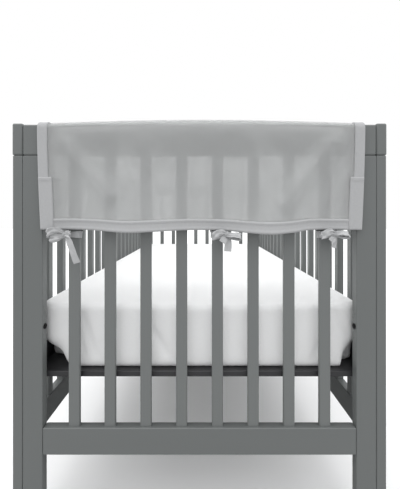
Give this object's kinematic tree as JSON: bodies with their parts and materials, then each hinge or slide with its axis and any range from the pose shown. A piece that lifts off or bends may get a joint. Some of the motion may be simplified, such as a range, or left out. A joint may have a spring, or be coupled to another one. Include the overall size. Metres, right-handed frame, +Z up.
{
  "type": "mesh crib bumper on a slatted crib",
  "caption": "Sheer mesh rail bumper with bound edges and bow ties, draped over one end of a grey slatted crib with its mattress.",
  "frame": {"origin": "on the floor, at the middle of the whole footprint, the cover's drop included", "axes": "+Z up, +Y along the crib away from the covered end, +X to the right of someone who faces the cover"},
  "size_m": [0.766, 1.4088, 0.8726],
  "materials": {
    "painted_wood": "grey satin paint on wood",
    "fitted_sheet": "plain white cotton",
    "support_board": "dark painted board",
    "knitted_mesh": "sheer knitted polyester mesh, matt",
    "woven_tape": "soft woven tape, matt"
  },
  "bodies": {
    "root": {"end_top_rail_front": "painted_wood", "end_lower_rail_front": "painted_wood", "end_post_front_left": "painted_wood", "end_post_front_right": "painted_wood", "end_slat_front_1": "painted_wood", "end_slat_front_2": "painted_wood", "end_slat_front_3": "painted_wood", "end_slat_front_4": "painted_wood", "end_slat_front_5": "painted_wood", "end_slat_front_6": "painted_wood", "end_slat_front_7": "painted_wood", "end_slat_front_8": "painted_wood", "end_top_rail_back": "painted_wood", "end_lower_rail_back": "painted_wood", "end_post_back_left": "painted_wood", "end_post_back_right": "painted_wood", "end_slat_back_1": "painted_wood", "end_slat_back_2": "painted_wood", "end_slat_back_3": "painted_wood", "end_slat_back_4": "painted_wood", "end_slat_back_5": "painted_wood", "end_slat_back_6": "painted_wood", "end_slat_back_7": "painted_wood", "end_slat_back_8": "painted_wood", "side_top_rail_left": "painted_wood", "side_post_left_front": "painted_wood", "side_post_left_back": "painted_wood", "side_slats_left": "painted_wood", "side_top_rail_right": "painted_wood", "side_post_right_front": "painted_wood", "side_post_right_back": "painted_wood", "side_slats_right": "painted_wood", "mattress": "fitted_sheet", "mattress_support": "support_board", "mesh_panel": "knitted_mesh", "binding_left": "woven_tape", "binding_right": "woven_tape", "facing_front_left": "woven_tape", "facing_front_right": "woven_tape", "facing_back_left": "woven_tape", "facing_back_right": "woven_tape", "hem_front": "woven_tape", "hem_back": "woven_tape", "tie_left_front": "woven_tape", "tie_left_back": "woven_tape", "tie_middle_front": "woven_tape", "tie_middle_back": "woven_tape", "tie_right_front": "woven_tape", "tie_right_back": "woven_tape"}
  },
  "joints": []
}
